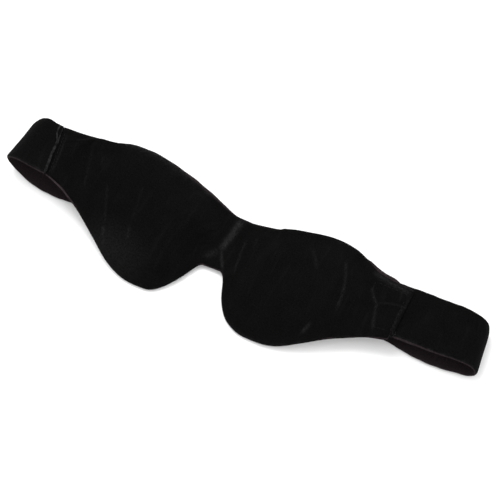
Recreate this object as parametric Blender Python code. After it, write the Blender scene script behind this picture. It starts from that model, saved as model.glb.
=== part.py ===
"""Padded velvet blindfold for two eyes, lying face up on its own closed strap.

X runs along the mask, +Y towards the forehead edge, +Z out of the front face. The origin is on
the underside of the back strap, behind the nose bridge, where the whole thing rests.
All lengths are metres.
"""
import math

import bpy

MM = 0.001

# Fabric plies
VELVET = 0.9 * MM          # velvet ply with its backing
LINING = 0.6 * MM          # brushed lining ply
GAP = 0.3 * MM             # air between neighbouring meshes
PLIES = LINING + GAP + VELVET
PATCH = 0.8 * MM           # one half of the hook-and-loop closure
THREAD = 0.3 * MM          # radius of the sewing thread

# Outline of the mask, in plan
STRAP_WIDTH = 30.0 * MM
BRIDGE_TOP = 14.2 * MM     # height of the forehead edge above the nose
CROWN_TOP = 26.5 * MM      # highest point of the forehead edge
NOTCH_HALF = 7.0 * MM      # half width of the flat nose notch
NOTCH_TOP = -19.8 * MM
LOBE_LOW = -47.5 * MM      # lowest point of each lobe
LOBE_X = 37.0 * MM
LOWER_END = 102.0 * MM     # where the cheek edge meets the strap's edge
LEFT_SEAM = -108.5 * MM
RIGHT_TAB = 104.0 * MM
CROWN_X = {-1: 58.0 * MM, 1: 52.0 * MM}
UPPER_END = {-1: 104.0 * MM, 1: 93.0 * MM}
END_TOP = {-1: 13.2 * MM, 1: 14.5 * MM}
END_LOW = {-1: -16.8 * MM, 1: -14.5 * MM}

# Padding
PAD_EDGE = 0.6 * MM
PAD_CROWN = 4.6 * MM
PAD_INNER = 10.0 * MM      # the padding stops short of the bridge, so the mask creases there
PAD_OUTER = 88.0 * MM

# Strap loop, side view
LEFT_FOLD = -129.0 * MM
RIGHT_FOLD = 149.0 * MM
LEFT_LOOP = 20.0 * MM      # height of the loop at the left fold
RIGHT_LOOP = 14.0 * MM
CLOSURE_START = 81.0 * MM  # inner end of the hook and loop patches
TIP_END = 79.0 * MM
TIP_LOW = 4.6 * MM         # underside of the strap's tip at its end
DRIFT = 0.016              # the strap lies slightly askew under the mask, by this slope

STATIONS = 18              # cells along one half of the mask
ACROSS = 8                 # cells across the mask
PAD_COLUMNS = (1, 7)


def ease(t):
    """0 to 1 with level ends."""
    t = min(1.0, max(0.0, t))
    return 0.5 - 0.5 * math.cos(math.pi * t)


def lobe_curve(t):
    """Quarter of a superellipse: steep at the nose, level at the lobe's lowest point."""
    t = min(1.0, max(0.0, t))
    return (1.0 - (1.0 - t) ** 1.8) ** (1.0 / 1.8)


def top_edge(x):
    side = -1 if x < 0 else 1
    x = abs(x)
    crown = CROWN_X[side]
    if x < crown:
        return BRIDGE_TOP + (CROWN_TOP - BRIDGE_TOP) * ease(x / crown)
    fall = ease((x - crown) / (UPPER_END[side] - crown))
    return CROWN_TOP + (END_TOP[side] - CROWN_TOP) * fall


def low_edge(x):
    side = -1 if x < 0 else 1
    x = abs(x)
    if x < LOBE_X:
        return NOTCH_TOP + (LOBE_LOW - NOTCH_TOP) * lobe_curve((x - NOTCH_HALF) / (LOBE_X - NOTCH_HALF))
    rise = ease((x - LOBE_X) / (LOWER_END - LOBE_X))
    return LOBE_LOW + (END_LOW[side] - LOBE_LOW) * rise


def tip_under(x):
    """Underside of the strap's tip, rising from its end to the right fold."""
    start = RIGHT_FOLD - RIGHT_LOOP / 2
    t = (x - TIP_END) / (start - TIP_END)
    return TIP_LOW + (RIGHT_LOOP - PLIES - TIP_LOW) * math.sin(math.pi / 2 * min(1.0, max(0.0, t)))


def mask_under(x):
    """Underside of the mask: low over the back strap, lifted at each end by the strap's loop."""
    rest = PLIES + GAP
    if x < 0:
        return rest + (LEFT_LOOP - PLIES - rest) * ease((-x - 0.040) / (-LEFT_SEAM + 0.010 - 0.040))
    over_tip = PLIES + 3 * GAP + 2 * PATCH
    lifted = tip_under(max(x, TIP_END)) + over_tip
    return rest + (lifted - rest) * ease((x - 0.040) / (TIP_END - 0.040))


def pad_dome(x, share):
    """Padding height: full over each eye, thin all round its edge."""
    along = (abs(x) - PAD_INNER) / (PAD_OUTER - PAD_INNER)
    across = (share - PAD_COLUMNS[0] / ACROSS) / ((PAD_COLUMNS[1] - PAD_COLUMNS[0]) / ACROSS)
    if not (0 < along < 1 and 0 < across < 1):
        return 0.0
    return math.sqrt(math.sin(math.pi * along ** 0.8) * math.sin(math.pi * across))


def padding(x, share):
    """Height between the lining and the front velvet."""
    along = min((abs(x) - 0.004) / (PAD_INNER - 0.004), (0.098 - abs(x)) / (0.098 - PAD_OUTER))
    across = min(share, 1.0 - share) * ACROSS
    edge = min(1.0, max(0.0, along)) * min(1.0, across)
    return GAP + (PAD_EDGE + GAP) * edge + (PAD_CROWN - PAD_EDGE) * pad_dome(x, share)


def fabric(name, colour, roughness):
    material = bpy.data.materials.new(name)
    material.use_nodes = True
    shader = material.node_tree.nodes["Principled BSDF"]
    shader.inputs["Base Color"].default_value = (*colour, 1.0)
    shader.inputs["Roughness"].default_value = roughness
    shader.inputs["Metallic"].default_value = 0.0
    return material


def solid(name, under, over, material):
    """Close two matching grids of points, under and over, into one solid."""
    rows, columns = len(under), len(under[0])
    points = [point for row in under for point in row] + [point for row in over for point in row]
    half = rows * columns

    def at(i, j, upper):
        return i * columns + j + (half if upper else 0)

    faces = []
    for i in range(rows - 1):
        for j in range(columns - 1):
            faces.append((at(i, j, 1), at(i + 1, j, 1), at(i + 1, j + 1, 1), at(i, j + 1, 1)))
            faces.append((at(i, j, 0), at(i, j + 1, 0), at(i + 1, j + 1, 0), at(i + 1, j, 0)))
    rim = [(i, 0) for i in range(rows)] + [(rows - 1, j) for j in range(1, columns)]
    rim += [(i, columns - 1) for i in range(rows - 2, -1, -1)] + [(0, j) for j in range(columns - 2, 0, -1)]
    for here, there in zip(rim, rim[1:] + rim[:1]):
        faces.append((at(*here, 0), at(*there, 0), at(*there, 1), at(*here, 1)))
    mesh = bpy.data.meshes.new(name)
    mesh.from_pydata(points, [], faces)
    mesh.shade_smooth()
    mesh.set_sharp_from_angle(angle=math.radians(40))
    mesh.materials.append(material)
    piece = bpy.data.objects.new(name, mesh)
    bpy.context.scene.collection.objects.link(piece)
    return piece


def mask_stations(side):
    """Stations along one half, from the bridge to its outer end, closer together at the notch."""
    end = LEFT_SEAM + GAP / 2 if side < 0 else RIGHT_TAB
    start = side * GAP / 2
    near = [0.004, NOTCH_HALF, PAD_INNER, 0.014, 0.020, 0.028]
    count = STATIONS - len(near)
    far = [0.037 + (PAD_OUTER - 0.037) * k / (count - 4) for k in range(count - 3)]
    last = [0.098] if side > 0 else [0.098, 0.104]
    return [start] + [side * x for x in near + far + last] + [end]


def mask_layer(name, side, bottom, top, material, inset=False):
    """One ply of a mask half; bottom and top give its surfaces at (x, share of the width)."""
    stations = mask_stations(side)
    columns = range(ACROSS + 1)
    if inset:
        stations = [x for x in stations if PAD_INNER - 1e-6 < abs(x) < PAD_OUTER + 1e-6]
        columns = range(PAD_COLUMNS[0], PAD_COLUMNS[1] + 1)
    if side < 0:
        stations = stations[::-1]

    def row(x, height):
        low, high = low_edge(x), top_edge(x)
        return [(x, low + (high - low) * j / ACROSS, height(x, j / ACROSS)) for j in columns]

    return solid(name, [row(x, bottom) for x in stations], [row(x, top) for x in stations], material)


def make_mask_half(side, label):
    def lining_top(x, share):
        return mask_under(x) + LINING

    def velvet_bottom(x, share):
        return lining_top(x, share) + padding(x, share)

    mask_layer(f"back_lining_{label}", side, lambda x, share: mask_under(x), lining_top, LINING_CLOTH)
    mask_layer(f"eye_pad_{label}", side,
               lambda x, share: lining_top(x, share) + GAP,
               lambda x, share: velvet_bottom(x, share) - GAP, FOAM, inset=True)
    mask_layer(f"front_velvet_{label}", side, velvet_bottom,
               lambda x, share: velvet_bottom(x, share) + VELVET, VELVET_CLOTH)


def strap_ply(name, path, inner, outer, material):
    """A band swept along a side-view path of (x, z, normal x, normal z) on the strap's underside.

    The normal points from the loop's inside to its outside; inner and outer are distances along it.
    """
    ends = (-STRAP_WIDTH / 2, 0.0, STRAP_WIDTH / 2)

    def rows(distance):
        return [[(x + nx * distance, y + DRIFT * x, z + nz * distance) for y in ends] for x, z, nx, nz in path]

    return solid(name, rows(inner), rows(outer), material)


def strap_segment(label, path):
    strap_ply(f"strap_lining_{label}", path, 0.0, LINING, LINING_CLOTH)
    strap_ply(f"strap_velvet_{label}", path, LINING + GAP, PLIES, VELVET_CLOTH)


def arc(centre_x, centre_z, radius, start, stop, cells):
    """Points round a fold, each with its outward normal; angles in degrees from +X towards +Z."""
    points = []
    for k in range(cells + 1):
        angle = math.radians(start + (stop - start) * k / cells)
        nx, nz = math.cos(angle), math.sin(angle)
        points.append((centre_x + nx * radius, centre_z + nz * radius, nx, nz))
    return points


def front_run(xs, height):
    """Strap in front: its outside faces up, and its underside follows height(x)."""
    points = []
    for x in xs:
        slope = (height(x + 0.0005) - height(x - 0.0005)) / 0.001
        length = math.hypot(1.0, slope)
        points.append((x, height(x), -slope / length, 1.0 / length))
    return points


def make_strap():
    left_radius, right_radius = LEFT_LOOP / 2 - PLIES, RIGHT_LOOP / 2 - PLIES
    left_x, right_x = LEFT_FOLD + LEFT_LOOP / 2, RIGHT_FOLD - RIGHT_LOOP / 2
    left_z, right_z = LEFT_LOOP / 2, RIGHT_LOOP / 2
    left_play = math.degrees(GAP / 2 / (LEFT_LOOP / 2))
    right_play = math.degrees(GAP / 2 / (RIGHT_LOOP / 2))

    stub = front_run([LEFT_SEAM - GAP / 2, left_x + 0.003], mask_under)
    stub += arc(left_x, left_z, left_radius, 90, 135 - left_play, 3)
    strap_segment("front_left", stub[::-1])
    strap_segment("fold_left", arc(left_x, left_z, left_radius, 135 + left_play, 225 - left_play, 6)[::-1])
    back = arc(left_x, left_z, left_radius, 225 + left_play, 270, 3)
    back += [(x, PLIES, 0.0, -1.0) for x in (-0.080, -0.040, 0.0, 0.040, 0.080, 0.115)]
    back += arc(right_x, right_z, right_radius, 270, 315 - right_play, 3)
    strap_segment("back", back[::-1])
    strap_segment("fold_right", arc(right_x, right_z, right_radius, -45 + right_play, 45 - right_play, 6)[::-1])
    tip = arc(right_x, right_z, right_radius, 45 + right_play, 90, 3)
    tip += front_run([0.136, 0.127, 0.117, 0.106, 0.098, 0.090, TIP_END], tip_under)
    strap_segment("tip", tip[::-1])


def patch(name, inset, base, material):
    """One half of the closure, between the strap's tip and the mask's right tab."""
    xs = [CLOSURE_START + (RIGHT_TAB - 0.001 - CLOSURE_START) * k / 4 for k in range(5)]
    ys = (-STRAP_WIDTH / 2 + inset, 0.0, STRAP_WIDTH / 2 - inset)
    under = [[(x, y, tip_under(x) + base) for y in ys] for x in xs]
    over = [[(x, y, z + PATCH) for x, y, z in row] for row in under]
    return solid(name, under, over, material)


def thread(name, route, closed):
    """Sewing thread laid along a route of points."""
    curve = bpy.data.curves.new(name, "CURVE")
    curve.dimensions = "3D"
    curve.bevel_depth = THREAD
    curve.bevel_resolution = 1
    curve.use_fill_caps = not closed
    spline = curve.splines.new("POLY")
    spline.points.add(len(route) - 1)
    for point, place in zip(spline.points, route):
        point.co = (*place, 1.0)
    spline.use_cyclic_u = closed
    curve.materials.append(THREAD_COLOUR)
    piece = bpy.data.objects.new(name, curve)
    bpy.context.scene.collection.objects.link(piece)
    return piece


def on_front(x, y):
    """A point just above the front velvet, outside the padding."""
    share = (y - low_edge(x)) / (top_edge(x) - low_edge(x))
    top = mask_under(x) + LINING + padding(x, share) + VELVET
    return (x, y, top + THREAD + 0.0004)


def make_stitching():
    reach = STRAP_WIDTH / 2 - 0.0015
    steps = [DRIFT * LEFT_SEAM + reach * (k / 4 - 1) for k in range(9)]
    seam_x = LEFT_SEAM + 0.0025
    return_x = LEFT_SEAM + 0.0055
    row_out = [on_front(seam_x, y) for y in steps]
    row_back = [on_front(return_x, y) for y in reversed(steps)]
    thread("seam_stitch_left", row_out + row_back, closed=True)

    inner, outer = CLOSURE_START + 0.002, RIGHT_TAB - 0.0025
    reach = STRAP_WIDTH / 2 - 0.003
    route = [on_front(inner + (outer - inner) * k / 4, -reach) for k in range(5)]
    route += [on_front(outer, reach * (k / 2 - 1)) for k in range(1, 5)]
    route += [on_front(outer + (inner - outer) * k / 4, reach) for k in range(1, 5)]
    route += [on_front(inner, reach * (1 - k / 2)) for k in range(1, 4)]
    thread("box_stitch_right", route, closed=True)

    below = THREAD + GAP
    xs = [inner + (outer - inner) * k / 4 for k in range(5)]
    route = [(x, -reach, tip_under(x) - below) for x in xs]
    route += [(x, reach, tip_under(x) - below) for x in reversed(xs)]
    thread("box_stitch_tip", route, closed=True)


for item in list(bpy.data.objects):
    bpy.data.objects.remove(item)

VELVET_CLOTH = fabric("black_velvet", (0.0052, 0.0050, 0.0050), 0.85)
LINING_CLOTH = fabric("brushed_lining", (0.012, 0.008, 0.009), 0.9)
FOAM = fabric("grey_foam", (0.08, 0.08, 0.085), 0.95)
HOOK_AND_LOOP = fabric("hook_and_loop_tape", (0.010, 0.010, 0.011), 0.7)
THREAD_COLOUR = fabric("black_thread", (0.012, 0.011, 0.012), 0.6)

make_mask_half(-1, "left")
make_mask_half(1, "right")
make_strap()
patch("hook_patch", 0.003, PLIES + GAP, HOOK_AND_LOOP)
patch("loop_patch", 0.0025, PLIES + 2 * GAP + PATCH, HOOK_AND_LOOP)
make_stitching()
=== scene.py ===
"""Looks of a padded velvet blindfold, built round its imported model.

Each section makes one piece, or a group of like pieces, in the order they are sewn together.
X runs along the mask, +Y towards the forehead edge and +Z out of the front face, in metres.
"""
import math
import random

import bpy
import numpy as np
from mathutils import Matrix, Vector, noise


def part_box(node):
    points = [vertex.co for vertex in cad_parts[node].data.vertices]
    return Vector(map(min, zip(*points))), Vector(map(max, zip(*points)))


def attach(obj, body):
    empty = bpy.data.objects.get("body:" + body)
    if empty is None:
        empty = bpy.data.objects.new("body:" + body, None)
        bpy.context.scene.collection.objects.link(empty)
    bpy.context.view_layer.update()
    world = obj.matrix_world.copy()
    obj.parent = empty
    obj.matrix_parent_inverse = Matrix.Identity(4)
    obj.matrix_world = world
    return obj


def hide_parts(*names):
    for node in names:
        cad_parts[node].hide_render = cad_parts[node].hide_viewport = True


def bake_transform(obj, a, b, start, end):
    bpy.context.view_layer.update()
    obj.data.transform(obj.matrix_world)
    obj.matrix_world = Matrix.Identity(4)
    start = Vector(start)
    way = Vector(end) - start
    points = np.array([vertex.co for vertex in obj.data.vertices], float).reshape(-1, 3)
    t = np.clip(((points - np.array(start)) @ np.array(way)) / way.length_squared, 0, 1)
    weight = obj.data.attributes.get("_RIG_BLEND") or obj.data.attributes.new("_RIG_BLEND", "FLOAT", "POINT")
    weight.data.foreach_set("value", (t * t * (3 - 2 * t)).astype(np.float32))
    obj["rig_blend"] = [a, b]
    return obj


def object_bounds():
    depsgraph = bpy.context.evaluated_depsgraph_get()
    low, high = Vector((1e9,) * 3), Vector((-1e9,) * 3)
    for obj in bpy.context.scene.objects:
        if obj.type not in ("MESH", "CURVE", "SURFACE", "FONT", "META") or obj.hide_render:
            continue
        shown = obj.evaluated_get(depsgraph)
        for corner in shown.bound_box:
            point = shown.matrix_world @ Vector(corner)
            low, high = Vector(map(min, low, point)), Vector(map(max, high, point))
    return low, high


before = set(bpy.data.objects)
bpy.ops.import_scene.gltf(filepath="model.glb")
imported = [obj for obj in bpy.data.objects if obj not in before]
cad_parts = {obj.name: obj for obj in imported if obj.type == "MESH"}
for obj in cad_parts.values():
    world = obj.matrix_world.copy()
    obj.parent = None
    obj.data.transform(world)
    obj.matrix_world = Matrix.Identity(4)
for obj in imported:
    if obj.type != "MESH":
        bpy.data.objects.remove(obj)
cad_low, cad_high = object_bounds()
MM = 0.001


# --- Table, light and camera -------------------------------------------------------------------
# A pale table under soft studio light from the upper left, seen from above the cheek edge and
# a little from the right, with a long lens.
scene = bpy.context.scene
scene.view_settings.view_transform = "Standard"
camera_turn, camera_rise, camera_distance = math.radians(27), math.radians(65), 0.80
camera_target = Vector((0.01374, -0.00265, 0.00847))
toward_camera = Vector((math.sin(camera_turn) * math.cos(camera_rise),
                        -math.cos(camera_turn) * math.cos(camera_rise),
                        math.sin(camera_rise)))
bpy.ops.object.camera_add(location=camera_target + toward_camera * camera_distance)
camera = bpy.context.object
camera.rotation_euler = toward_camera.to_track_quat("Z", "Y").to_euler()
camera.data.lens = 106.0
scene.camera = camera


def start_material(name, roughness, specular):
    """A new material with its shader, and the nodes and links to build its pattern from."""
    material = bpy.data.materials.new(name)
    material.use_nodes = True
    nodes, links = material.node_tree.nodes, material.node_tree.links
    shader = nodes["Principled BSDF"]
    shader.inputs["Roughness"].default_value = roughness
    shader.inputs["Specular IOR Level"].default_value = specular
    return material, shader, nodes, links


bpy.ops.mesh.primitive_plane_add(size=6.0, location=(0.0, 0.0, cad_low.z))
table = bpy.context.object
table.name = "table"
table_paint, table_shader, _, _ = start_material("table_paint", roughness=0.9, specular=0.1)
table_shader.inputs["Base Color"].default_value = (0.88, 0.88, 0.88, 1.0)
table.data.materials.append(table_paint)

bpy.ops.object.light_add(type="AREA", location=(-0.55, 0.35, 1.25))
key_light = bpy.context.object
key_light.data.shape = "DISK"
key_light.data.size = 0.7
key_light.data.energy = 8.5
key_light.rotation_euler = (key_light.location - camera_target).to_track_quat("Z", "Y").to_euler()

room = bpy.data.worlds.new("studio")
room.use_nodes = True
room.node_tree.nodes["Background"].inputs["Color"].default_value = (1.0, 1.0, 1.0, 1.0)
room.node_tree.nodes["Background"].inputs["Strength"].default_value = 1.4
scene.world = room


# --- Cloth finishes ----------------------------------------------------------------------------
# Black crushed velvet outside, a brushed red-brown lining inside. Both have a pile: fine tufts,
# and soft patches where it is pressed one way. Creases and edges are painted lighter: painted
# highlights, with some wear.
def nap_group():
    """Pile pattern: Shade is 0 where the pile lies dark and 1 where it catches light."""
    group = bpy.data.node_groups.new("cloth_nap", "ShaderNodeTree")
    for name in ("Tuft Scale", "Patch Scale", "Streak"):
        group.interface.new_socket(name, in_out="INPUT", socket_type="NodeSocketFloat")
    group.interface.new_socket("Place", in_out="INPUT", socket_type="NodeSocketVector")
    for name in ("Shade", "Height"):
        group.interface.new_socket(name, in_out="OUTPUT", socket_type="NodeSocketFloat")
    nodes, links = group.nodes, group.links
    source, out = nodes.new("NodeGroupInput"), nodes.new("NodeGroupOutput")

    tufts = nodes.new("ShaderNodeTexNoise")
    tufts.inputs["Detail"].default_value = 3.0
    links.new(source.outputs["Place"], tufts.inputs["Vector"])
    links.new(source.outputs["Tuft Scale"], tufts.inputs["Scale"])

    patches = nodes.new("ShaderNodeTexNoise")
    patches.inputs["Detail"].default_value = 4.0
    patches.inputs["Roughness"].default_value = 0.62
    patches.inputs["Distortion"].default_value = 0.6
    links.new(source.outputs["Place"], patches.inputs["Vector"])
    links.new(source.outputs["Patch Scale"], patches.inputs["Scale"])

    stretch = nodes.new("ShaderNodeMapping")
    stretch.inputs["Scale"].default_value = (5.0, 0.7, 1.0)
    stretch.inputs["Rotation"].default_value = (0.0, 0.0, math.radians(8))
    links.new(source.outputs["Place"], stretch.inputs["Vector"])
    streaks = nodes.new("ShaderNodeTexNoise")
    streaks.inputs["Detail"].default_value = 2.0
    links.new(stretch.outputs["Vector"], streaks.inputs["Vector"])
    links.new(source.outputs["Patch Scale"], streaks.inputs["Scale"])
    lines = nodes.new("ShaderNodeMapRange")
    lines.inputs["From Min"].default_value = 0.56
    lines.inputs["From Max"].default_value = 0.74
    links.new(streaks.outputs["Fac"], lines.inputs["Value"])
    pressed = nodes.new("ShaderNodeMath")
    pressed.operation = "MULTIPLY"
    links.new(lines.outputs["Result"], pressed.inputs[0])
    links.new(source.outputs["Streak"], pressed.inputs[1])

    grain = nodes.new("ShaderNodeMapRange")
    grain.inputs["From Min"].default_value = 0.33
    grain.inputs["From Max"].default_value = 0.67
    links.new(tufts.outputs["Fac"], grain.inputs["Value"])
    soft = nodes.new("ShaderNodeMath")
    soft.operation = "MULTIPLY_ADD"
    soft.inputs[1].default_value = 0.6
    links.new(patches.outputs["Fac"], soft.inputs[0])
    links.new(pressed.outputs["Value"], soft.inputs[2])
    shade = nodes.new("ShaderNodeMath")
    shade.operation = "MULTIPLY_ADD"
    shade.inputs[1].default_value = 0.55
    shade.use_clamp = True
    links.new(grain.outputs["Result"], shade.inputs[0])
    links.new(soft.outputs["Value"], shade.inputs[2])
    links.new(shade.outputs["Value"], out.inputs["Shade"])
    links.new(grain.outputs["Result"], out.inputs["Height"])
    return group


cloth_nap = nap_group()


def add_relief(material_parts, height, strength, distance):
    """Raise and lower a finish a little by a height pattern."""
    _, shader, nodes, links = material_parts
    relief = nodes.new("ShaderNodeBump")
    relief.inputs["Strength"].default_value = strength
    relief.inputs["Distance"].default_value = distance
    links.new(height, relief.inputs["Height"])
    links.new(relief.outputs["Normal"], shader.inputs["Normal"])
    return relief


def napped_cloth(name, dark, light, pale_pile_and_highlight, tuft_scale, patch_scale, streak, bump, sheen):
    """A piled cloth. A mesh attribute says where its pile is painted pale: wear, and painted highlights."""
    parts = start_material(name, roughness=0.95, specular=0.02)
    cloth, shader, nodes, links = parts
    shader.inputs["Sheen Weight"].default_value = sheen
    shader.inputs["Sheen Roughness"].default_value = 0.45

    place = nodes.new("ShaderNodeUVMap")
    nap = nodes.new("ShaderNodeGroup")
    nap.node_tree = cloth_nap
    nap.inputs["Tuft Scale"].default_value = tuft_scale
    nap.inputs["Patch Scale"].default_value = patch_scale
    nap.inputs["Streak"].default_value = streak
    links.new(place.outputs["UV"], nap.inputs["Place"])

    pile = nodes.new("ShaderNodeMix")
    pile.data_type = "RGBA"
    pile.inputs["A"].default_value = (*dark, 1.0)
    pile.inputs["B"].default_value = (*light, 1.0)
    links.new(nap.outputs["Shade"], pile.inputs["Factor"])

    # Painted highlight: the pile is mixed towards the pale colour where the mesh says, on creases and edges
    # that catch the light, as well as on worn pile and lint.
    pale_layer = nodes.new("ShaderNodeAttribute")
    pale_layer.attribute_name = "pale_pile_and_highlight"
    broken = nodes.new("ShaderNodeMath")
    broken.operation = "MULTIPLY_ADD"
    broken.inputs[1].default_value = 1.3
    broken.inputs[2].default_value = 0.25
    links.new(nap.outputs["Height"], broken.inputs[0])
    pale_share = nodes.new("ShaderNodeMath")
    pale_share.operation = "MULTIPLY"
    pale_share.use_clamp = True
    links.new(pale_layer.outputs["Fac"], pale_share.inputs[0])
    links.new(broken.outputs["Value"], pale_share.inputs[1])
    finish = nodes.new("ShaderNodeMix")
    finish.data_type = "RGBA"
    finish.inputs["B"].default_value = (*pale_pile_and_highlight, 1.0)
    links.new(pale_share.outputs["Value"], finish.inputs["Factor"])
    links.new(pile.outputs["Result"], finish.inputs["A"])
    links.new(finish.outputs["Result"], shader.inputs["Base Color"])
    add_relief(parts, nap.outputs["Height"], strength=bump, distance=0.2 * MM)
    return cloth


velvet = napped_cloth("black_velvet", dark=(0.0004, 0.0004, 0.0004), light=(0.0034, 0.0033, 0.0033),
                      pale_pile_and_highlight=(0.0210, 0.0204, 0.0207), tuft_scale=130.0, patch_scale=7.0, streak=0.3,
                      bump=0.7, sheen=0.02)
lining = napped_cloth("brushed_lining", dark=(0.0068, 0.0056, 0.0059),
                      light=(0.0180, 0.0130, 0.0148), pale_pile_and_highlight=(0.0310, 0.0232, 0.0250),
                      tuft_scale=130.0, patch_scale=14.0, streak=0.2, bump=0.5, sheen=0.010)


# --- Mask front --------------------------------------------------------------------------------
# One piece of velvet cut with two lobes and a nose notch, sewn round its edge and pushed out by
# the eye pads behind it. It is puffed by cloth simulation, then creased at the bridge.
def smooth_line(points):
    """A curve through (x, y) points in order of x, as a function of x."""
    xs, ys = np.array(points, float).T
    slopes = np.gradient(ys, xs)

    def at(x):
        x = np.clip(x, xs[0], xs[-1])
        k = np.clip(np.searchsorted(xs, x) - 1, 0, len(xs) - 2)
        span = xs[k + 1] - xs[k]
        t = (x - xs[k]) / span
        rise = ys[k] * (2 * t**3 - 3 * t**2 + 1) + ys[k + 1] * (3 * t**2 - 2 * t**3)
        return rise + span * (slopes[k] * (t**3 - 2 * t**2 + t) + slopes[k + 1] * (t**3 - t**2))

    return at


def ease(t):
    t = np.clip(t, 0.0, 1.0)
    return t * t * (3 - 2 * t)


def cad_underside(*nodes):
    """Lowest surface of some CAD nodes along X, as a function of x."""
    stations = {}
    for node in nodes:
        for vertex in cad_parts[node].data.vertices:
            stations.setdefault(round(vertex.co.x, 5), []).append(vertex.co.z)
    return smooth_line([(x, min(stations[x])) for x in sorted(stations)])


seam_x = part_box("front_velvet_left")[0].x
tab_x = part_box("front_velvet_right")[1].x
forehead_edge = smooth_line([(x * MM, y * MM) for x, y in (
    (-110, 13.3), (-98, 15.3), (-84, 20.4), (-70, 25.8), (-57, 27.1), (-38, 24.3), (-17, 18.5),
    (0, 14.5), (17, 17.0), (36, 23.2), (52, 25.8), (66, 23.6), (82, 17.3), (93, 15.3),
    (105, 14.3))])
left_cheek = smooth_line([(x * MM, y * MM) for x, y in (
    (-110, -16.8), (-98, -18.9), (-84, -24.0), (-68, -33.5), (-54, -42.3), (-44, -46.1), (-33, -46.9),
    (-24, -45.0), (-15, -34.4), (-8, -20.7))])
right_cheek = smooth_line([(x * MM, y * MM) for x, y in (
    (4.5, -19.0), (7.4, -22.6), (10.8, -31.2), (16.2, -39.7), (25.5, -45.9), (37, -47.0),
    (50, -44.6), (62, -38.2), (76, -29.4), (90, -22.0), (105, -17.6))])
notch_left, notch_right = -8 * MM, 4.5 * MM
notch_floor, notch_climb = -20.2 * MM, 1.0 * MM


def cheek_edge(x):
    floor = notch_floor + (x - notch_left) / (notch_right - notch_left) * notch_climb
    return np.where(x < notch_left, left_cheek(x), np.where(x > notch_right, right_cheek(x), floor))


mask_under = cad_underside("back_lining_left", "back_lining_right")
LOBE_SAG, TAB_DROP, TAB_END_DROP = 1.5 * MM, 1.2 * MM, 1.2 * MM


def mask_base(x, y):
    """Height of the mask's back: as the CAD, but the lobes sag past the strap and the tab sits down."""
    past_strap = np.maximum(np.abs(y) - 17 * MM, 0) / (30 * MM)
    sag = LOBE_SAG * np.minimum(past_strap, 1) ** 1.5 * ease((95 * MM - np.abs(x)) / (30 * MM))
    end = TAB_END_DROP * ease((x - tab_x + 3.4 * MM) / (3.4 * MM))
    return mask_under(x) - sag - TAB_DROP * ease((x - 72 * MM) / (14 * MM)) - end


def vertex_places(piece):
    places = np.empty(len(piece.data.vertices) * 3)
    piece.data.vertices.foreach_get("co", places)
    return places.reshape(-1, 3).T


def place_vertices(piece, x, y, z):
    piece.data.vertices.foreach_set("co", np.column_stack([x, y, z]).ravel())
    piece.data.update()


def unit_grid(name, columns, rows):
    """A flat square grid, one metre a side, to be bent into a piece of cloth."""
    bpy.ops.object.select_all(action="DESELECT")
    bpy.ops.mesh.primitive_grid_add(x_subdivisions=columns, y_subdivisions=rows, size=1.0)
    piece = bpy.context.object
    piece.name = name
    return piece


seam_lean, seam_middle = -0.17, -1.6 * MM
MASK_COLUMNS, MASK_ROWS = 128, 34
ROLL_DEPTH = 2.5 * MM


def mask_grid(name, roll=None):
    """A flat grid cut to the mask's outline, with each vertex's distance in from the sewn edge.

    The left end leans as its seam does. Roll moves the sewn edge out by so much at each x."""
    piece = unit_grid(name, MASK_COLUMNS, MASK_ROWS)
    across_grid, up_grid, _ = vertex_places(piece)
    share = up_grid + 0.5
    x = seam_x + (tab_x - seam_x) * (across_grid + 0.5)
    step = 0.4 * MM
    low, high = cheek_edge(x), forehead_edge(x)
    low_slope = (cheek_edge(x + step) - cheek_edge(x - step)) / (2 * step)
    high_slope = (forehead_edge(x + step) - forehead_edge(x - step)) / (2 * step)
    low_tilt, high_tilt = np.sqrt(1 + low_slope**2), np.sqrt(1 + high_slope**2)
    y = low + (high - low) * share
    inset = np.minimum((high - y) / high_tilt, (y - low) / low_tilt)
    if roll:
        near_high = roll(x, True) * np.maximum(1 - (high - y) / high_tilt / ROLL_DEPTH, 0)
        near_low = roll(x, False) * np.maximum(1 - (y - low) / low_tilt / ROLL_DEPTH, 0)
        x = x - near_high * high_slope / high_tilt + near_low * low_slope / low_tilt
        y = y + near_high / high_tilt - near_low / low_tilt
    x = x + seam_lean * (y - seam_middle) * ease((-x - 84 * MM) / (24 * MM))
    return piece, x, y, inset


def lay_pattern(piece, u, v):
    """Lay the UV map flat on the cloth, one unit to 100 mm, so that the pile keeps its size."""
    mesh = piece.data
    layer = mesh.uv_layers.active or mesh.uv_layers.new(name="cloth")
    corners = np.empty(len(mesh.loops), int)
    mesh.loops.foreach_get("vertex_index", corners)
    layer.data.foreach_set("uv", (np.column_stack([u, v])[corners] / 0.1).ravel())


def store_pale_pile(piece, amount):
    """Store how pale the pile is painted, from 0 to 1 at each vertex: wear, lint and painted highlights."""
    layers = piece.data.attributes
    layer = layers.get("pale_pile_and_highlight") or layers.new("pale_pile_and_highlight", "FLOAT", "POINT")
    layer.data.foreach_set("value", np.clip(amount, 0, 1))


def select_only(piece):
    bpy.ops.object.select_all(action="DESELECT")
    bpy.context.view_layer.objects.active = piece
    piece.select_set(True)


def apply_modifier(piece, kind, **settings):
    select_only(piece)
    bpy.ops.object.modifier_add(type=kind)
    modifier = piece.modifiers[-1]
    for name, value in settings.items():
        setattr(modifier, name, value)
    bpy.ops.object.modifier_apply(modifier=modifier.name)


def smooth_shade(piece):
    select_only(piece)
    bpy.ops.object.shade_smooth_by_angle(angle=math.radians(50))


PAD_RISE = 4.2 * MM


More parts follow.
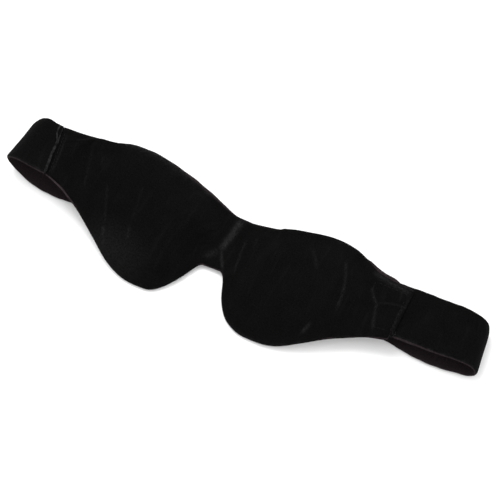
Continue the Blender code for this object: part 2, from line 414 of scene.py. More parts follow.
def pad_rise(x, inset):
    """How far the eye pads push the front out: full over each eye, nothing at the bridge or ends."""
    along = ease((np.abs(x) - 5 * MM) / (20 * MM)) * ease((93 * MM - np.abs(x)) / (32 * MM))
    return along * ease((inset + 2 * MM) / (22 * MM))


def turned_edge(inset, height, width=2.6 * MM):
    """Round profile of an edge that is sewn and turned right side out."""
    t = np.clip(inset / width, 0, 1)
    return height * np.sqrt(1 - (1 - t) ** 2)


def ripple(x, y, size, seed=0.0):
    """Smooth random relief from about -1 to 1, with lumps of the given size."""
    return np.array([noise.noise((a / size, b / size, seed)) for a, b in zip(x, y)]) * 1.6


def puff(piece, held, pressure, most):
    """Swell a cloth outwards by simulation; held vertices stay, and none moves further than most."""
    before = vertex_places(piece).T
    pins = piece.vertex_groups.new(name="sewn")
    for index, weight in enumerate(held):
        pins.add([index], float(weight), "REPLACE")
    select_only(piece)
    bpy.ops.object.modifier_add(type="CLOTH")
    cloth = piece.modifiers[-1]
    settings = cloth.settings
    settings.quality = 6
    settings.mass = 0.05
    settings.tension_stiffness = 12.0
    settings.compression_stiffness = 12.0
    settings.shear_stiffness = 4.0
    settings.bending_stiffness = 0.05
    settings.use_pressure = True
    settings.uniform_pressure_force = pressure
    settings.shrink_min = -0.05
    settings.effector_weights.gravity = 0.0
    settings.vertex_group_mass = pins.name
    cloth.point_cache.frame_start, cloth.point_cache.frame_end = 1, 20
    for step in range(1, 21):
        scene.frame_set(step)
    bpy.ops.object.modifier_apply(modifier=cloth.name)
    scene.frame_set(1)
    moved = vertex_places(piece).T - before
    # The padding behind stops the cloth from sinking, so only a little of any sinking is kept.
    moved[:, 2] = np.where(moved[:, 2] < 0, 0.15 * moved[:, 2], moved[:, 2])
    distance = np.linalg.norm(moved, axis=1)
    moved *= np.minimum(1.0, most / np.maximum(distance, 1e-9))[:, None]
    place_vertices(piece, *(before + moved).T)
    piece.vertex_groups.clear()


VELVET_THICK, LINING_THICK = 0.9 * MM, 0.6 * MM
front, x, y, inset = mask_grid("mask_front_velvet")
tab_end = np.maximum(tab_x - x, 0)
seam_gap = np.maximum(x - seam_x - seam_lean * (y - seam_middle), 0)
sewn_in = np.minimum(np.minimum(inset, tab_end), seam_gap)
lift = VELVET_THICK + turned_edge(sewn_in, 1.0 * MM) + PAD_RISE * pad_rise(x, inset)
lift -= 0.45 * MM * ease((x - 92 * MM) / (9 * MM))
place_vertices(front, x, y, mask_base(x, y) + lift)
lay_pattern(front, x, y)
held = np.where(sewn_in < 0.3 * MM, 1.0, 0.0)
held = np.maximum(held, 0.9 * ease(1 - np.abs(x) / (7 * MM)))
held = np.maximum(held, 0.85 * ease((x - 76 * MM) / (10 * MM)))
puff(front, held, pressure=2.0, most=3.0 * MM)
apply_modifier(front, "SUBSURF", levels=1, render_levels=1)


def line_nearness(x, y, points, half_width, fade=5 * MM):
    """1 on a line through (x, y) points in mm, falling to 0 about half_width away and at its ends."""
    points = np.array(points) * MM
    best, along = np.full(len(x), 1e9), np.zeros(len(x))
    run = 0.0
    for (ax, ay), (bx, by) in zip(points[:-1], points[1:]):
        dx, dy = bx - ax, by - ay
        length = math.hypot(dx, dy)
        t = np.clip(((x - ax) * dx + (y - ay) * dy) / length**2, 0, 1)
        gap = np.hypot(x - ax - t * dx, y - ay - t * dy)
        closer = gap < best
        best = np.where(closer, gap, best)
        along = np.where(closer, run + t * length, along)
        run += length
    ends = ease(np.minimum(along, run - along) / min(fade, run / 2) + 0.25)
    return np.exp(-(best / half_width) ** 2) * ends


# Each crease: its line in mm, half its width, how far it stands up, and how pale its pile is painted, a
# painted highlight.
front_creases = (
    (((1.2, 14.5), (0.6, 11), (0, 4), (-1, -4), (-1.2, -8.7)), 1.75, 0.55, 0.55),
    (((-1.5, -7.5), (1.5, -12.5), (5.2, -18.6)), 0.65, 0.4, 0.5),
    (((-2, -8), (-4.4, -12), (-7.8, -16.2)), 2.0, 0.3, 0.24),
    (((8.4, 4), (9.3, -5), (11.2, -18)), 0.6, 0.25, 0.18),
    (((13, 8), (14.5, 0)), 0.6, 0.2, 0.12),
    (((63.5, 13.6), (66.8, 6.5), (69.3, -1.1), (70.9, -8), (71.2, -15.6)), 0.55, 0.35, 0.31),
    (((43.4, 14.6), (47.5, 9), (51.2, 3)), 0.7, 0.3, 0.17),
    (((61.9, -26.8), (61, -30), (59.6, -34.2)), 0.9, 0.35, 0.36),
    (((-90.9, 10.1), (-87.5, -1), (-83.7, -13.1)), 0.55, 0.25, 0.11),
    (((-84, 10.5), (-82, 3)), 0.6, 0.2, 0.12),
    (((-74, -4), (-66, -21), (-59.9, -35.5)), 0.6, 0.3, 0.13),
    (((-65, -25), (-61.5, -32), (-59.2, -37.5)), 0.9, 0.25, 0.36),
    (((-52, -19), (-48.5, -28)), 0.8, 0.3, 0.30),
    (((-47.5, -32), (-44, -42)), 0.9, 0.25, 0.18),
    (((-57, 6), (-54, -6), (-52, -17)), 0.55, 0.25, 0.08),
    (((82.9, 7.5), (83.4, 4.4), (88.9, -2.3), (90.8, -9.1), (93.2, -17.4)), 0.6, 0.35, 0.36),
    (((88.5, -1.4), (95, 1.5), (103.5, 2.5)), 0.7, 0.3, 0.12),
    (((79, 15.6), (90, 12.8), (103.0, 11.0)), 1.5, 0.3, 0.30),
    (((102.9, 11.0), (103.0, 4), (101.8, -3), (103.0, -13)), 0.5, 0.3, 0.26),
    (((91, 14.2), (96, 12.4), (101.5, 9.6)), 1.1, 0.2, 0.3),
    (((98.2, 10.8), (98.9, 4.5)), 0.5, 0.2, 0.2),
    (((-107.4, 12.3), (-105.2, 2), (-104.4, -2.5), (-102.6, -15.5)), 0.5, -0.2, 0.2),
)
x, y, z = vertex_places(front)
to_edge = np.minimum(forehead_edge(x) - y, y - cheek_edge(x))
pale_pile_and_highlight = np.zeros(len(x))
# Creases stand up, and their pile is painted pale along them: a painted highlight.
for line, half_width, height, crease_highlight in front_creases:
    nearness = line_nearness(x, y, line, half_width * MM)
    z += height * MM * nearness - 0.35 * height * MM * line_nearness(x, y, line, 3 * half_width * MM)
    pale_pile_and_highlight = np.maximum(pale_pile_and_highlight, crease_highlight * nearness)
# The painted highlight of a crease is patchy, and the lower left lobe is painted lighter all over, a painted
# pool of light.
pale_pile_and_highlight *= 0.95 + 0.45 * ripple(x, y, 1.9 * MM, 17.0)
low_left_painted_light = ease(1.1 - np.hypot((x + 57 * MM) / (30 * MM), (y + 37 * MM) / (20 * MM)))
pale_pile_and_highlight = np.maximum(pale_pile_and_highlight, 0.16 * low_left_painted_light)
# The sewn edge is painted pale, a painted highlight with some wear, most along the left of the forehead.
forehead_highlight_and_wear = ease(1.3 * (1 - np.abs(x + 54 * MM) / (36 * MM))) * (y > 0)
edge_highlight_and_wear = 0.12 + 0.42 * forehead_highlight_and_wear + (0.2 + 0.2 * forehead_highlight_and_wear) * ripple(x, y, 2.0 * MM)
edge_highlight_and_wear *= np.exp(-np.maximum(to_edge, 0) / ((0.9 + 0.7 * forehead_highlight_and_wear) * MM))
pale_pile_and_highlight = np.maximum(pale_pile_and_highlight, edge_highlight_and_wear)
pucker = ripple(x, y, 4.5 * MM, 3.0) * np.exp(-np.maximum(to_edge - 1 * MM, 0) / (5 * MM))
z += 0.28 * MM * pucker * ease(to_edge / (1.5 * MM)) + 0.12 * MM * ripple(x, y, 11 * MM, 7.0)
place_vertices(front, x, y, z)
store_pale_pile(front, pale_pile_and_highlight)
apply_modifier(front, "SOLIDIFY", thickness=VELVET_THICK, offset=-1.0)
smooth_shade(front)
front.data.materials.append(velvet)
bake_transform(front, "mask_left", "mask_right", start=(-1.5 * MM, 0, 0), end=(8 * MM, 0, 0))
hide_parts("front_velvet_left", "front_velvet_right")


# --- Mask back ---------------------------------------------------------------------------------
# The same outline in brushed lining, which lies against the face. It is sewn to the velvet all
# round and its edge rolls out past the seam here and there, where it shows as a pale line, the
# lining with a painted highlight on its edge.
FOREHEAD_ROLLS = ((-78, -3, 1.0), (52, 66, 0.55), (70, 97, 0.8))
CHEEK_ROLLS = ((-108, -82, 0.5),)


def lining_roll(x, forehead):
    """How far the lining's edge stands out past the velvet, by its stretches: start, end, most."""
    out = -0.1 * MM + 0.1 * MM * np.sin(x / (7 * MM)) * np.sin(x / (2.9 * MM) + 1.3)
    for start, end, most in FOREHEAD_ROLLS if forehead else CHEEK_ROLLS:
        middle, half = (start + end) / 2 * MM, (end - start) / 2 * MM
        out = out + most * MM * ease(2 * (1 - np.abs(x - middle) / half))
    return out


def turn_over(piece):
    select_only(piece)
    bpy.ops.object.mode_set(mode="EDIT")
    bpy.ops.mesh.select_all(action="SELECT")
    bpy.ops.mesh.flip_normals()
    bpy.ops.object.mode_set(mode="OBJECT")


back, x, y, inset = mask_grid("mask_back_lining", roll=lining_roll)
tab_end = np.maximum(tab_x - x, 0)
edge_in = np.minimum(inset, tab_end)
x = x - 1.3 * MM * ease(1 - tab_end / (3 * MM))
z = mask_base(x, y) + VELVET_THICK - turned_edge(edge_in, 0.9 * MM, 2.4 * MM)
rolled = np.maximum(lining_roll(x, True) * (y > 0) + lining_roll(x, False) * (y <= 0), 0)
z += 1.4 * rolled * np.exp(-edge_in / (1.0 * MM))
z += 0.10 * MM * ripple(x, y, 9 * MM, 11.0)
z += 0.2 * MM * ripple(x, y, 4.5 * MM, 13.0) * np.exp(-edge_in / (4 * MM))
place_vertices(back, x, y, z)
lay_pattern(back, x, y)
# The lining's edge is painted pale, most where it rolls out: a painted highlight along the edge.
highlight_and_wear = np.clip(0.12 + rolled / (0.45 * MM), 0, 1)
store_pale_pile(back, highlight_and_wear * np.exp(-edge_in / (1.1 * MM)) * (0.8 + 0.5 * ripple(x, y, 2.0 * MM, 5.0)))
turn_over(back)
apply_modifier(back, "SUBSURF", levels=1, render_levels=1)
apply_modifier(back, "SOLIDIFY", thickness=LINING_THICK, offset=-1.0)
smooth_shade(back)
back.data.materials.append(lining)
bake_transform(back, "mask_left", "mask_right", start=(-1.5 * MM, 0, 0), end=(8 * MM, 0, 0))
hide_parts("back_lining_left", "back_lining_right")


# --- Eye pads ----------------------------------------------------------------------------------
# A soft foam pad behind each eye, cut a little smaller than the lobe and slipped in between the
# lining and the velvet before the edge is closed. It is what makes the front bulge.
PAD_MARGIN = 6 * MM


def eye_pad(name, cad_node):
    bpy.ops.object.select_all(action="DESELECT")
    bpy.ops.mesh.primitive_uv_sphere_add(segments=64, ring_count=24, radius=1.0)
    pad = bpy.context.object
    pad.name = name
    px, py, pz = vertex_places(pad)
    turn = np.arctan2(py, px)
    low_corner, high_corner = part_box(cad_node)
    start, end = low_corner.x, high_corner.x
    spread = np.hypot(px, py) ** 0.8
    x = (start + end) / 2 + (end - start) / 2 * spread * np.cos(turn)
    low, high = cheek_edge(x) + PAD_MARGIN, forehead_edge(x) - PAD_MARGIN
    x = np.clip(x, start + 1 * MM, end - 1 * MM)
    y = (low + high) / 2 + np.maximum(high - low, PAD_MARGIN) / 2 * spread * np.sin(turn)
    inset = np.maximum(np.minimum(forehead_edge(x) - y, y - cheek_edge(x)), 0)
    under = mask_base(x, y) + 0.75 * MM
    over = mask_base(x, y) + VELVET_THICK + 0.7 * (PAD_RISE * pad_rise(x, inset))
    place_vertices(pad, x, y, under + (over - under) * (0.5 + 0.5 * np.sign(pz) * np.abs(pz) ** 0.6))
    smooth_shade(pad)
    return pad


def object_pattern(material_parts, kind, scale):
    """A pattern laid out in a piece's own coordinates."""
    _, _, nodes, links = material_parts
    place, pattern = nodes.new("ShaderNodeTexCoord"), nodes.new(kind)
    pattern.inputs["Scale"].default_value = scale
    links.new(place.outputs["Object"], pattern.inputs["Vector"])
    return pattern


def tint(material_parts, pattern, dark, light):
    """Colour a finish between two tones by a pattern."""
    _, shader, nodes, links = material_parts
    tone = nodes.new("ShaderNodeMix")
    tone.data_type = "RGBA"
    tone.inputs["A"].default_value = (*dark, 1.0)
    tone.inputs["B"].default_value = (*light, 1.0)
    links.new(pattern, tone.inputs["Factor"])
    links.new(tone.outputs["Result"], shader.inputs["Base Color"])


foam_parts = start_material("pad_foam", roughness=0.95, specular=0.1)
foam_cells = object_pattern(foam_parts, "ShaderNodeTexVoronoi", scale=1400.0)
tint(foam_parts, foam_cells.outputs["Distance"], (0.012, 0.012, 0.013), (0.030, 0.030, 0.031))
add_relief(foam_parts, foam_cells.outputs["Distance"], strength=0.5, distance=0.3 * MM)

for word, body in (("left", "mask_left"), ("right", "mask_right")):
    pad = eye_pad(f"eye_foam_{word}", f"eye_pad_{word}")
    pad.data.materials.append(foam_parts[0])
    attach(pad, body)
    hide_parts(f"eye_pad_{word}")


# --- Strap -------------------------------------------------------------------------------------
# A flat band of velvet outside and lining inside, sewn edge to edge. It leaves the left seam,
# folds under, runs behind the mask, folds up again and ends under the right tab.
STRAP_WIDTH, STRAP_THICK, STRAP_SKEW = 30 * MM, 1.8 * MM, 0.016
left_fold, left_radius = (-119 * MM, 10 * MM), 8.2 * MM
right_fold, right_radius = (142 * MM, 7 * MM), 5.2 * MM
strap_tip_x, tip_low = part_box("strap_lining_tip")[0].x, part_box("strap_lining_tip")[0].z


def tip_under(x):
    """Height of the inner face of the strap's end, which rises from under the tab to the fold."""
    rise = right_fold[1] + right_radius - tip_low
    share = min(max((x - strap_tip_x) / (right_fold[0] - strap_tip_x), 0), 1)
    return tip_low + rise * math.sin(math.pi / 2 * share)


def fold_arc(centre, radius, angles):
    return [(centre[0] + radius * math.cos(a), centre[1] + radius * math.sin(a),
             math.cos(a), math.sin(a)) for a in angles]


def strap_route():
    """Rows of x, z and outward normal along the strap's inner face, from left seam to tip."""
    step = 0.5 * MM
    top, bottom = left_fold[1] + left_radius, left_fold[1] - left_radius
    rows = [(x, top, 0.0, 1.0) for x in np.arange(seam_x, left_fold[0], -step)]
    rows += fold_arc(left_fold, left_radius, np.linspace(math.pi / 2, 3 * math.pi / 2, 61))
    rows += [(x, bottom, 0.0, -1.0) for x in np.arange(left_fold[0] + step, right_fold[0], step)]
    rows += fold_arc(right_fold, right_radius, np.linspace(-math.pi / 2, math.pi / 2, 49))
    for x in np.arange(right_fold[0] - step, strap_tip_x, -step):
        slope = (tip_under(x + MM) - tip_under(x - MM)) / (2 * MM)
        size = math.hypot(slope, 1)
        rows.append((x, tip_under(x), -slope / size, 1 / size))
    rows = np.array(rows, float)
    run = np.concatenate([[0], np.cumsum(np.hypot(np.diff(rows[:, 0]), np.diff(rows[:, 1])))])
    return rows, run


route, route_run = strap_route()
# The plies are cut at the middle of each fold and half way along the back.
middle_row = int(np.argmin(route[:, 0]))
left_middle = float(route_run[middle_row])
back_middle = float(route_run[middle_row + int(np.argmin(np.abs(route[middle_row:, 0] - 10 * MM)))])
right_middle = float(route_run[int(np.argmax(route[:, 0]))])
route_end = float(route_run[-1])


def strap_point(s, v, depth):
    """A point of the strap: s along it, v from -1 to 1 across it, depth out from its inner face."""
    x, z, nx, nz = (np.interp(s, route_run, route[:, k]) for k in range(4))
    size = np.hypot(nx, nz)
    nx, nz = nx / size, nz / size
    across = v * STRAP_WIDTH / 2
    at_left = ease(1.15 - np.abs(s - left_middle) / (22 * MM))
    at_right = ease(1.15 - np.abs(s - right_middle) / (24 * MM))
    # The fold lines lean, a little more below the strap's middle than above it.
    lean = np.where(v < 0, 0.155, 0.085) * at_left
    lean = lean - np.where(v < 0, 0.165, 0.15) * at_right
    lean = lean + seam_lean * ease(1 - s / (12 * MM))
    # Each fold's end is pushed out, and its corner towards the forehead is rounded off.
    left_corner = np.maximum(v - 0.55, 0) ** 2 / 0.16
    right_corner = np.maximum(v - 0.35, 0) ** 2 / 0.42
    reach = at_right * (1.25 + 0.5 * v - 1.4 * right_corner) * MM
    reach = reach - at_left * (2.0 + 0.5 * np.minimum(v, 0) - 2.0 * left_corner) * MM
    # The run on the table bows towards the cheeks beside each fold.
    bow = -3.2 * MM * ease(1 - np.abs(s - left_middle - 30 * MM) / (36 * MM))
    bow = bow - 3.2 * MM * ease(1 - np.abs(s - right_middle + 24 * MM) / (40 * MM))
    bow = bow - 2.0 * MM * right_corner * at_right**2
    low_corner = np.maximum(-v, 0) * ease(1 - np.abs(s - left_middle - 6 * MM) / (14 * MM))
    bow = bow + (1.8 * at_left + 1.6 * at_right + 1.2 * low_corner) * MM
    y = STRAP_SKEW * x + bow + across
    wave = 0.16 * MM * np.minimum(ripple(s, across, 14 * MM, 21.0) - 0.9, 0) * ease(s / (6 * MM))
    return x + lean * across + reach + nx * (depth + wave), y, z + nz * (depth + wave)


# Rows of the strap's grid, how far its lining stands out past the velvet as a share of half its
# width, and how thick each of its plies is away from the edges.
STRAP_ROWS, LINING_LIP = 40, 0.022
VELVET_PLY, LINING_PLY = 1.02 * MM, 0.74 * MM


def strap_ply(name, start, end, outer):
    """One stretch of the strap's velvet or lining, as a closed sheet."""
    piece = unit_grid(name, max(int((end - start) / (1.0 * MM)), 12), STRAP_ROWS)
    gx, gy, _ = vertex_places(piece)
    s = start + (end - start) * (gx + 0.5)
    t = 2 * gy
    # Rows crowd together towards the two edges, where the cloth turns in.
    v = np.sin(t * math.pi / 2) * 0.35 + t * 0.65
    if not outer:
        # The lining stands out a little past the velvet, most of all under the right tab.
        lip = LINING_LIP + 0.008 * np.sin(s / (5 * MM)) * np.sin(s / (1.9 * MM))
        lip = lip + np.where(v < 0, 0.04 * ease((s - right_middle - 12 * MM) / (26 * MM)), 0.0)
        v = v * (1 + lip)
    from_edge = np.maximum((1 - np.abs(v)) * STRAP_WIDTH / 2, 0)
    pucker = ripple(s, np.sign(v) * 0.02, 3.6 * MM, 31.0) * np.exp(-from_edge / (3 * MM))
    if outer:
        curl = 1 - turned_edge(from_edge, 1.0, 1.6 * MM)
        depth = STRAP_THICK - 0.85 * MM * curl + 0.1 * MM * pucker
        thick = 1.0 - 0.78 * curl
    else:
        inner_edge = np.maximum((1 + LINING_LIP - np.abs(v)) * STRAP_WIDTH / 2, 0)
        curl = 1 - turned_edge(inner_edge, 1.0, 1.4 * MM)
        depth = 0.45 * MM * curl + 0.06 * MM * pucker
        thick = 1.0 - 0.25 * curl
    place_vertices(piece, *strap_point(s, v, depth))
    lay_pattern(piece, s, v * STRAP_WIDTH / 2)
    edge_highlight_falloff = np.exp(-from_edge / ((0.5 if outer else 0.9) * MM))
    # The edges are painted pale as a painted highlight, palest on the front runs' lower edge; the run on the
    # table gets hardly any.
    on_front = np.maximum(ease((left_middle + 3 * MM - s) / (6 * MM)),
                          ease((s - right_middle + 3 * MM) / (6 * MM)))
    highlight_and_wear = 0.12 + 0.88 * on_front * np.where(v < 0, 1.0, 0.3)
    patchy = (0.25 if outer else 0.36) + 0.3 * ripple(s, v * 0.015, 2.2 * MM, 41.0)
    store_pale_pile(piece, edge_highlight_falloff * highlight_and_wear * patchy)
    weights = piece.vertex_groups.new(name="thickness")
    for index, weight in enumerate(thick):
        weights.add([index], float(weight), "REPLACE")
    # Velvet faces out of the loop and lining into it, whichever way the bent grid came to face.
    facing = piece.data.polygons[0].normal
    nx, nz = (float(np.interp(start + 1e-4, route_run, route[:, k])) for k in (2, 3))
    if (facing.x * nx + facing.z * nz > 0) != outer:
        turn_over(piece)
    apply_modifier(piece, "SOLIDIFY", thickness=VELVET_PLY if outer else LINING_PLY, offset=-1.0,
                   vertex_group="thickness", thickness_vertex_group=0.0)
    piece.vertex_groups.clear()
    smooth_shade(piece)
    piece.data.materials.append(velvet if outer else lining)
    return piece


# Each stretch: where it starts and ends, the bodies it joins, their hinge and the way across it,
# and how far before and after the hinge it bends.
slant = math.sqrt(0.5)
upper_left, lower_left = Vector((-126.07, 0, 17.07)) * MM, Vector((-126.07, 0, 2.93)) * MM
lower_right, upper_right = Vector((146.95, 0, 2.05)) * MM, Vector((146.95, 0, 11.95)) * MM
stretches = (
    ("front_left", 0.0, left_middle, "mask_left", "strap_fold_left", upper_left,
     Vector((-slant, 0, -slant)), 12 * MM, 6 * MM),
    ("back_left", left_middle, back_middle, "strap_fold_left", "strap_back", lower_left,
     Vector((slant, 0, -slant)), 6 * MM, 12 * MM),
    ("back_right", back_middle, right_middle, "strap_back", "strap_fold_right", lower_right,
     Vector((slant, 0, slant)), 8.5 * MM, 2.5 * MM),
    ("front_right", right_middle, route_end, "strap_fold_right", "strap_tip", upper_right,
     Vector((-slant, 0, slant)), 2.5 * MM, 8.5 * MM),
)
replaced = {
    "front_left": ("front_left",), "back_left": ("fold_left", "back"),
    "back_right": ("fold_right",), "front_right": ("tip",),
}
for place, start, end, body_a, body_b, hinge, heading, before, after in stretches:
    for cloth_name, outer in (("velvet", True), ("lining", False)):
        ply = strap_ply(f"strap_{cloth_name}_{place}_ply", start, end, outer)
        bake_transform(ply, body_a, body_b, start=tuple(hinge - heading * before),
                 end=tuple(hinge + heading * after))
        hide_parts(*(f"strap_{cloth_name}_{part}" for part in replaced[place]))


# --- Left seam ---------------------------------------------------------------------------------
# The strap's velvet is sewn to the mask's left end, face to face, and turned. The cut edges make
# a low welt whose pile is painted pale, a painted highlight along its ridge, with a row of top
# stitching beside it on the mask.
def seam_place(y, aside):
    """X of a line beside the leaning seam at y, so far to its right."""
    return seam_x + seam_lean * (y - seam_middle) + aside


def surface_height(piece, x, y, above=0.05):
    """Height of a piece's top surface at x, y, or None beside it."""
    hit, place, _, _ = piece.ray_cast(Vector((x, y, above)), Vector((0, 0, -1)))
    return place.z if hit else None


def thread_curve(name, lines, radius, sides=2, girth=lambda place: 1.0):
    """Threads along lines of points, as one mesh of closed tubes with pinched ends."""
    bpy.ops.object.select_all(action="DESELECT")
    bpy.ops.curve.primitive_bezier_curve_add()
    threads = bpy.context.object
    threads.name = name
    curve = threads.data
    curve.splines.clear()
    for points in lines:
        spline = curve.splines.new("NURBS")
        spline.points.add(len(points) - 1)
        for index, (point, place) in enumerate(zip(spline.points, points)):
            point.co = (*place, 1.0)
            point.radius = (0.55 if index in (0, len(points) - 1) else 1.0) * girth(place)
        spline.order_u = min(3, len(points))
        spline.use_endpoint_u = True
        spline.resolution_u = 3
    curve.dimensions = "3D"
    curve.bevel_depth = radius
    curve.bevel_resolution = sides
    curve.use_fill_caps = True
    bpy.ops.object.convert(target="MESH")
    threads = bpy.context.object
    for polygon in threads.data.polygons:
        polygon.use_smooth = True
    return threads


def stitch_lines(points, pitch, gap, up, down):
    """One short arched line for each stitch along a run of surface points."""
    points = [Vector(point) for point in points]
    run = [0.0]
    for a, b in zip(points[:-1], points[1:]):
        run.append(run[-1] + (b - a).length)

    def at(s):
        k = min(max(int(np.searchsorted(run, s)) - 1, 0), len(points) - 2)
        t = (s - run[k]) / max(run[k + 1] - run[k], 1e-9)
        return points[k].lerp(points[k + 1], t)

    lines = []
    for number in range(int(run[-1] / pitch)):
        start, end = number * pitch + gap / 2, (number + 1) * pitch - gap / 2
        shape = ((0.0, -down), (0.12, up * 0.8), (0.5, up), (0.88, up * 0.8), (1.0, -down))
        lines.append([at(start + (end - start) * t) + Vector((0, 0, h)) for t, h in shape])
    return lines


thread_parts = start_material("black_thread", roughness=0.6, specular=0.06)
thread_paint = thread_parts[0]
thread_twist = object_pattern(thread_parts, "ShaderNodeTexWave", scale=900.0)
thread_twist.bands_direction = "DIAGONAL"
tint(thread_parts, thread_twist.outputs["Fac"], (0.002, 0.002, 0.002), (0.009, 0.009, 0.0095))
add_relief(thread_parts, thread_twist.outputs["Fac"], strength=0.4, distance=0.05 * MM)

bpy.context.view_layer.update()
WELT_HEIGHT = 19.42 * MM
chance = random.Random(4)
welt_line = []
for y in np.linspace(-16.3 * MM, 13.0 * MM, 60):
    ends_down = 0.5 * MM * (1 - turned_edge(min(y + 16.6 * MM, 13.3 * MM - y), 1.0, 1.4 * MM))
    sway = 0.22 * MM * math.sin(y / (3.1 * MM)) + 0.12 * MM * chance.uniform(-1, 1)
    height = WELT_HEIGHT - ends_down + 0.12 * MM * chance.uniform(-1, 1)
    welt_line.append((seam_place(y, -0.1 * MM) + sway, y, height))
# Towards the top the welt thins and a second strand runs beside it.
side_strand = [(x - 2.0 * MM * math.sin(math.pi * (y - 3.5 * MM) / (12 * MM)), y, z + 0.42 * MM)
               for x, y, z in welt_line if y > 3.5 * MM]
welt = thread_curve("left_seam_welt", [welt_line, side_strand], 0.80 * MM, sides=3,
                    girth=lambda place: 1.0 - 0.42 * float(ease((place[1] - 3 * MM) / (3 * MM))))
x, y, _ = vertex_places(welt)
lay_pattern(welt, x, y)
# Painted highlight: the welt's pile is painted pale along its ridge.
store_pale_pile(welt, 0.55 + 0.25 * ease((y - 6 * MM) / (5 * MM)) + 0.8 * ripple(y, x * 0, 2.6 * MM, 51.0))
welt.data.materials.append(velvet)
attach(welt, "mask_left")

THREAD_RADIUS, STITCH_GAP = 0.17 * MM, 0.5 * MM
points = []
for y in np.linspace(-15.0 * MM, 12.0 * MM, 50):
    x = seam_place(y, 2.4 * MM)
    points.append((x, y, surface_height(front, x, y)))
seam_rows = stitch_lines(points, 2.3 * MM, STITCH_GAP, up=0.16 * MM, down=0.25 * MM)
seam_stitches = thread_curve("left_seam_stitches", seam_rows, THREAD_RADIUS)
seam_stitches.data.materials.append(thread_paint)
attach(seam_stitches, "mask_left")
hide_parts("seam_stitch_left")


# --- Closure -----------------------------------------------------------------------------------
# A loop patch under the right tab meets a hook patch on the strap's end. Each is a woven tape
# with its pile, box stitched round: the tab's stitches show on the velvet.
tape_parts = start_material("fastener_tape", roughness=0.7, specular=0.2)
tape_paint, tape_shader, _, tape_links = tape_parts
tape_weave = object_pattern(tape_parts, "ShaderNodeTexBrick", scale=900.0)
tape_weave.inputs["Mortar Size"].default_value = 0.09
tape_weave.inputs["Color1"].default_value = (0.010, 0.010, 0.011, 1.0)
tape_weave.inputs["Color2"].default_value = (0.017, 0.017, 0.018, 1.0)
tape_weave.inputs["Mortar"].default_value = (0.004, 0.004, 0.004, 1.0)
tape_links.new(tape_weave.outputs["Color"], tape_shader.inputs["Base Color"])
tape_relief = add_relief(tape_parts, tape_weave.outputs["Fac"], strength=0.5, distance=0.1 * MM)
tape_relief.invert = True


def tape_patch(name, low, high, height_at, thickness):
    """A woven patch that follows a surface: height_at gives its underside at each x."""
    patch = unit_grid(name, 22, 24)
    gx, gy, _ = vertex_places(patch)
    x = low[0] + (high[0] - low[0]) * (gx + 0.5)
    y = low[1] + (high[1] - low[1]) * (gy + 0.5)
    place_vertices(patch, x, y, np.array([height_at(a) for a in x]) + thickness)
    lay_pattern(patch, x, y)
    apply_modifier(patch, "SOLIDIFY", thickness=thickness, offset=-1.0)
    apply_modifier(patch, "BEVEL", width=0.12 * MM, segments=2, limit_method="ANGLE")
    smooth_shade(patch)
    patch.data.materials.append(tape_paint)
    return patch


def pile_of(name, low, high, pitch, height_at, one_line, radius):
    """Small loops or hooks set in staggered rows over a patch."""
    lines = []
    across = int((high[1] - low[1]) / pitch)
    along = int((high[0] - low[0]) / pitch)
    for i in range(along):
        for j in range(across):
            x = low[0] + (i + 0.5) * pitch
            y = low[1] + (j + 0.5 + 0.25 * (i % 2)) * pitch
            base = Vector((x, y, height_at(x)))
            lines.append([base + Vector(step) for step in one_line()])
    return thread_curve(name, lines, radius, sides=0)


def loop_line():
    turn = chance.uniform(0, math.pi)
    wide, tall = 0.42 * MM, chance.uniform(0.35, 0.5) * MM
    return [(wide * t * math.cos(turn), wide * t * math.sin(turn), -tall * h)
            for t, h in ((-1, 0), (-1.3, 0.7), (0, 1.1), (1.3, 0.7), (1, 0))]


def hook_line():
    side = chance.choice((-1, 1))
    return [(0, side * t * 0.3 * MM, h * 0.5 * MM)
            for t, h in ((0, 0), (0, 0.8), (0.5, 1.15), (1.0, 0.8), (0.95, 0.55))]


hook_low, hook_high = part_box("hook_patch")
loop_low, loop_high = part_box("loop_patch")
TAPE_THICK = 0.35 * MM


def strap_top(x):
    return tip_under(x) + STRAP_THICK - 0.02 * MM


def tab_under(x):
    return float(mask_base(np.array([x]), np.array([0.0]))[0]) - TAPE_THICK + 0.12 * MM


pile_margin = Vector((1, 1, 0)) * MM
hook_tape = tape_patch("hook_tape", hook_low, hook_high, strap_top, TAPE_THICK)
hooks = pile_of("hook_tape_hooks", hook_low + pile_margin, hook_high - pile_margin, 1.15 * MM,
                lambda x: strap_top(x) + TAPE_THICK, hook_line, 0.09 * MM)
loop_tape = tape_patch("loop_tape", loop_low, loop_high, tab_under, TAPE_THICK)
loops = pile_of("loop_tape_loops", loop_low + pile_margin, loop_high - pile_margin, 1.0 * MM,
                tab_under, loop_line, 0.07 * MM)
for piece, body in ((hook_tape, "strap_tip"), (hooks, "strap_tip"),
                    (loop_tape, "mask_right"), (loops, "mask_right")):
    if piece in (hooks, loops):
        piece.data.materials.append(thread_paint)
    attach(piece, body)
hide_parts("hook_patch")
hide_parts("loop_patch")

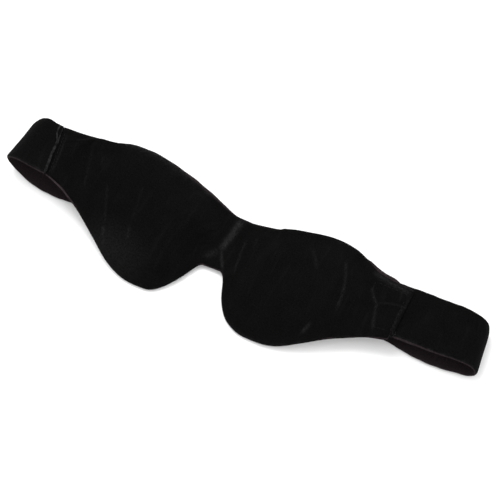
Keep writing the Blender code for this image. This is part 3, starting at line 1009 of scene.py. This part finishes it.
tab_box = (((82.9, 10.4), (83.4, 4.4), (88.9, -2.3), (90.8, -9.1), (92.2, -14.6)),
           ((92.2, -14.6), (101.8, -13.2)), ((101.8, -13.2), (101.4, 9.8)),
           ((101.4, 9.8), (82.9, 10.4)))
BOX_PITCH = 2.4 * MM
tab_rows = []
for side in tab_box:
    points = []
    for (ax, ay), (bx, by) in zip(side[:-1], side[1:]):
        for t in np.linspace(0, 1, 16)[:-1]:
            x, y = (ax + (bx - ax) * t) * MM, (ay + (by - ay) * t) * MM
            points.append((x, y, surface_height(front, x, y)))
    tab_rows += stitch_lines(points, BOX_PITCH, STITCH_GAP, up=0.16 * MM, down=0.25 * MM)
tab_stitches = thread_curve("tab_box_stitches", tab_rows, THREAD_RADIUS)
tab_stitches.data.materials.append(thread_paint)
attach(tab_stitches, "mask_right")
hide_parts("box_stitch_right")

# Loose fibres of cut backing left at the tab's corners: each one's place, turn and length.
fibres = ((103.4, -13.6, 0.4, 3.6), (104.2, -14.6, 1.2, 2.8), (102.6, -15.2, -0.5, 2.6),
          (104.6, -12.6, 2.0, 2.2), (103.0, -12.4, -1.1, 2.4), (101.6, 13.2, 0.2, 3.0),
          (98.4, 13.6, -0.3, 2.4))
fibre_shape = ((-0.5, 0, -0.1 * MM), (-0.2, 0.25 * MM, 0.2 * MM), (0.2, -0.15 * MM, 0.25 * MM),
               (0.5, 0.2 * MM, 0.05 * MM))
TAB_CORNER_HEIGHT = 12.4 * MM
lint_lines = []
for x, y, turn, long in fibres:
    z = (surface_height(front, x * MM, y * MM) or TAB_CORNER_HEIGHT) + 0.12 * MM
    lint_lines.append([(x * MM + long * MM * t * math.cos(turn) + bend,
                        y * MM + long * MM * t * math.sin(turn) - bend, z + lift)
                       for t, bend, lift in fibre_shape])
lint = thread_curve("tab_corner_lint", lint_lines, 0.09 * MM, sides=1)
x, y, _ = vertex_places(lint)
lay_pattern(lint, x, y)
store_pale_pile(lint, np.ones(len(x)))
lint.data.materials.append(velvet)
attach(lint, "mask_right")

tip_rows = []
box_margin = Vector((1.2, 1.2, 0)) * MM
(left, low, _), (right, high, _) = hook_low + box_margin, hook_high - box_margin
tip_corners = ((left, low), (right, low), (right, high), (left, high), (left, low))
for (ax, ay), (bx, by) in zip(tip_corners[:-1], tip_corners[1:]):
    for height, flip in ((TAPE_THICK + STRAP_THICK, 1), (0.0, -1)):
        points = [(ax + (bx - ax) * t, ay + (by - ay) * t, tip_under(ax + (bx - ax) * t) + height)
                  for t in np.linspace(0, 1, 24)]
        tip_rows += stitch_lines(points, BOX_PITCH, STITCH_GAP, up=flip * 0.14 * MM,
                                 down=flip * 0.2 * MM)
tip_stitches = thread_curve("tip_box_stitches", tip_rows, THREAD_RADIUS)
tip_stitches.data.materials.append(thread_paint)
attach(tip_stitches, "strap_tip")
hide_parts("box_stitch_tip")
